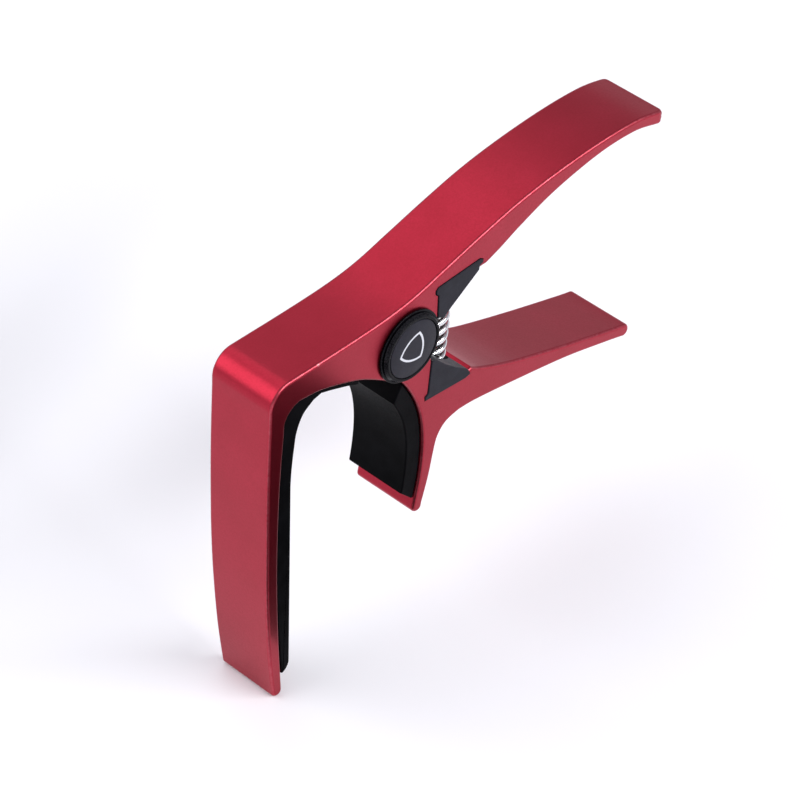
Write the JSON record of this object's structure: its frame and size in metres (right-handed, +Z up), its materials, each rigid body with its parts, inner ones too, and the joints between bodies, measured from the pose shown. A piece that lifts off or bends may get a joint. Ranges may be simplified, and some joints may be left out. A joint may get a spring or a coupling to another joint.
{
  "type": "instrument capo",
  "caption": "Spring-loaded trigger capo for a small fretted neck: a straight padded bar and handle in one arm, hinged to a padded jaw and handle in the other.",
  "frame": {"origin": "on the fret pad's flat pressing face, on the arms' middle plane, 19.5 mm below the hinge axis", "axes": "+X out of the pressing face, through the neck towards the jaw and handles; +Y along the hinge axis; +Z up along the fret bar to the hinge end"},
  "size_m": [0.0707, 0.0122, 0.058],
  "materials": {
    "red_anodised": "satin red anodised over a fine blast",
    "black_silicone": "matt black silicone",
    "charcoal_plastic": "charcoal moulded nylon",
    "chrome_wire": "bright plated spring wire",
    "zinc_steel": "zinc plated turned steel",
    "sintered_brass": "plain bearing bronze",
    "natural_nylon": "natural nylon sheet"
  },
  "bodies": {
    "frame": {"upper_arm": "red_anodised", "fret_pad": "black_silicone", "pivot_barrel": "zinc_steel", "pivot_screw": "zinc_steel", "near_thrust_washer": "natural_nylon", "far_thrust_washer": "natural_nylon", "near_flanged_bush": "charcoal_plastic", "far_flanged_bush": "charcoal_plastic", "near_pivot_cap": "charcoal_plastic", "far_pivot_cap": "charcoal_plastic", "near_cap_disc": "charcoal_plastic", "far_cap_disc": "charcoal_plastic", "upper_spring_seat": "charcoal_plastic", "spring": "chrome_wire"},
    "jaw": {"lower_arm": "red_anodised", "neck_pad": "black_silicone", "pivot_sleeve": "sintered_brass", "lower_spring_seat": "charcoal_plastic"}
  },
  "joints": [
    {"name": "jaw_hinge", "type": "hinge", "parent": "frame", "child": "jaw", "pos_m": [0.01945, 0, 0.0195], "axis": [0, -1, 0], "range_deg": [-41, 28], "stiffness_Nm_per_rad": 0.56, "deforming": ["spring"]}
  ]
}
